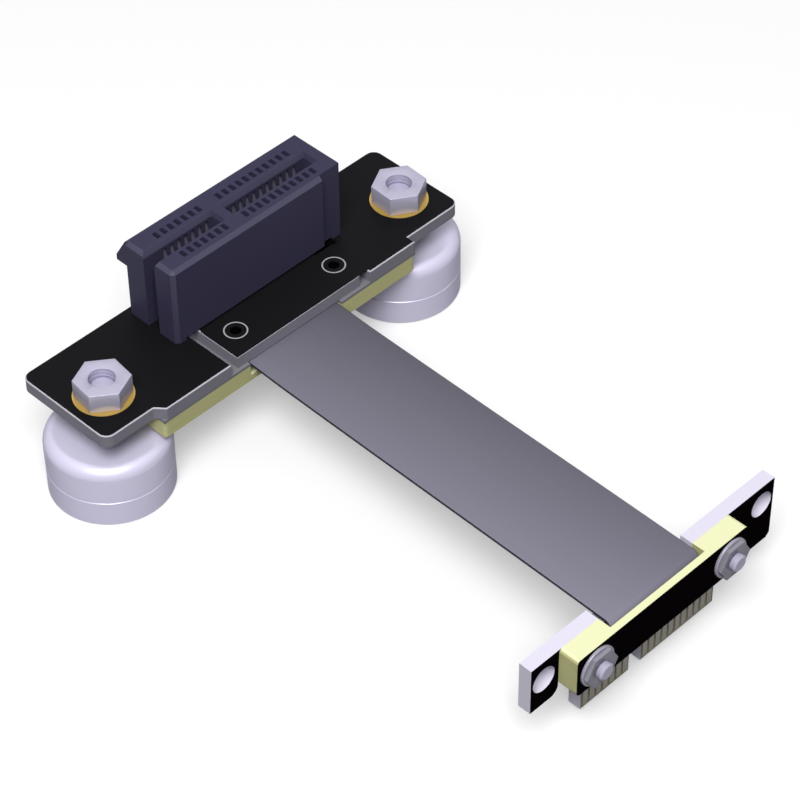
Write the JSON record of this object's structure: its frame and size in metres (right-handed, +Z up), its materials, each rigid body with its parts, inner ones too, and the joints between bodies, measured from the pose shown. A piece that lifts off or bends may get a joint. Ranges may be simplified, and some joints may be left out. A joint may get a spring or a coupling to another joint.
{
  "type": "pcie extension cable",
  "caption": "Short one-lane edge-card extension: a dark blue slot on a black board that stands on two disc magnets, joined by a flat grey ribbon to a small plug-in tab with two ears.",
  "frame": {"origin": "middle of the whole part's footprint, on the surface that it stands on", "axes": "+X along the slot, +Y from the plug towards the slot board, +Z up"},
  "size_m": [0.0582, 0.0714, 0.0229],
  "materials": {
    "black_board": "black solder mask over laminate",
    "black_faced_laminate": "yellow laminate with a black face",
    "black_film": "black film",
    "dark_blue_nylon": "satin moulded nylon, dark blue",
    "gilt_pad": "gilt ring",
    "grey_ribbon": "grey vinyl with fine ribs",
    "nickel_cup": "satin nickel",
    "nickel_fastener": "satin nickel",
    "nickel_magnet": "satin nickel",
    "plug_laminate": "black faces with pale cut edges",
    "tab_plating": "thin plating on the tab",
    "tinned_spring": "tinned spring metal, dull",
    "tinned_wire": "tinned copper",
    "yellow_laminate": "bare yellow laminate"
  },
  "bodies": {
    "root": {"clamp_film": "black_film", "clamp_plate": "yellow_laminate", "left_magnet": "nickel_magnet", "left_magnet_cup": "nickel_cup", "left_nut": "nickel_fastener", "left_pad": "gilt_pad", "left_screw": "nickel_fastener", "left_screw_nut": "nickel_fastener", "left_spacer": "nickel_fastener", "left_stud": "nickel_fastener", "left_washer": "nickel_fastener", "plug_board": "plug_laminate", "plug_cover": "black_faced_laminate", "plug_spacer": "yellow_laminate", "ribbon_cable": "grey_ribbon", "ribbon_wires_plug_end": "tinned_wire", "ribbon_wires_slot_end": "tinned_wire", "right_magnet": "nickel_magnet", "right_magnet_cup": "nickel_cup", "right_nut": "nickel_fastener", "right_pad": "gilt_pad", "right_screw": "nickel_fastener", "right_screw_nut": "nickel_fastener", "right_spacer": "nickel_fastener", "right_stud": "nickel_fastener", "right_washer": "nickel_fastener", "slot_board": "black_board", "slot_contacts_front": "tinned_spring", "slot_contacts_rear": "tinned_spring", "slot_housing": "dark_blue_nylon", "tab_fingers_front": "tab_plating", "tab_fingers_rear": "tab_plating", "tongue_film": "black_film"}
  },
  "joints": []
}
